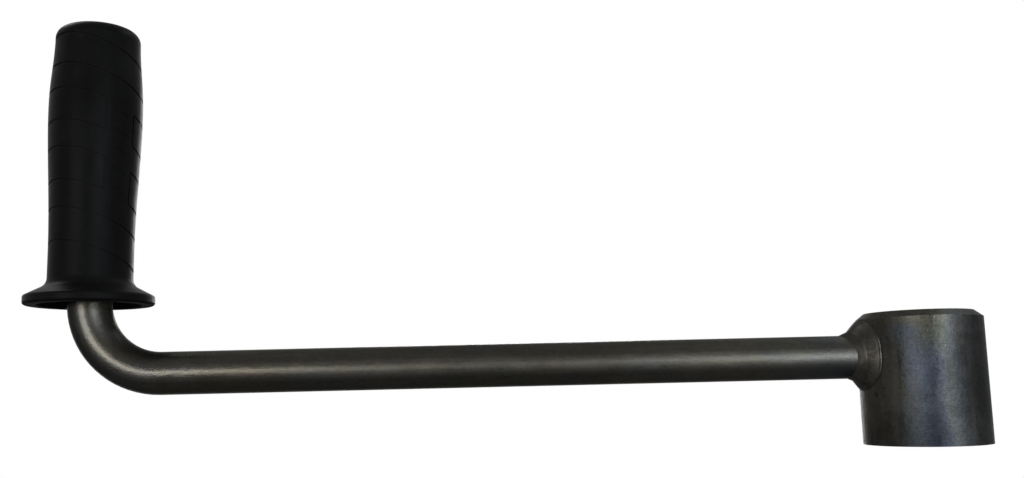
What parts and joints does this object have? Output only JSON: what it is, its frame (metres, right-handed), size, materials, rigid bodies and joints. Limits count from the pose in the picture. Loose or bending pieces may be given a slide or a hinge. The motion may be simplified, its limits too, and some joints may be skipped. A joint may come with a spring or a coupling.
{
  "type": "crank handle",
  "caption": "Hand crank with a bored and keyed hub, a bent round steel arm welded to it and a freely turning black rubber grip with a guard flange.",
  "frame": {"origin": "where the arm's axis crosses the axis of the hub's bore", "axes": "+Z along the bore towards the grip's side, -X along the arm towards the grip, Y across"},
  "size_m": [0.4017, 0.0524, 0.1874],
  "materials": {
    "hub_steel": "turned, dark, with blue and straw heat tint from the weld",
    "bar_steel": "satin, as rolled and wiped, grey-brown",
    "weld_steel": "dull, brushed after welding",
    "washer_steel": "zinc plated",
    "ring_steel": "blackened spring steel",
    "sleeve_plastic": "natural nylon",
    "grip_rubber": "black, matte with a soft sheen"
  },
  "bodies": {
    "crank": {"hub": "hub_steel", "crank_arm": "bar_steel", "weld_bead": "weld_steel", "thrust_washer": "washer_steel", "end_washer": "washer_steel", "retaining_ring": "ring_steel"},
    "handle": {"grip": "grip_rubber", "grip_sleeve": "sleeve_plastic"}
  },
  "joints": [
    {"name": "grip_spin", "type": "hinge", "parent": "crank", "child": "handle", "pos_m": [-0.35, 0, 0.09], "axis": [0, 0, 1], "continuous": true}
  ]
}
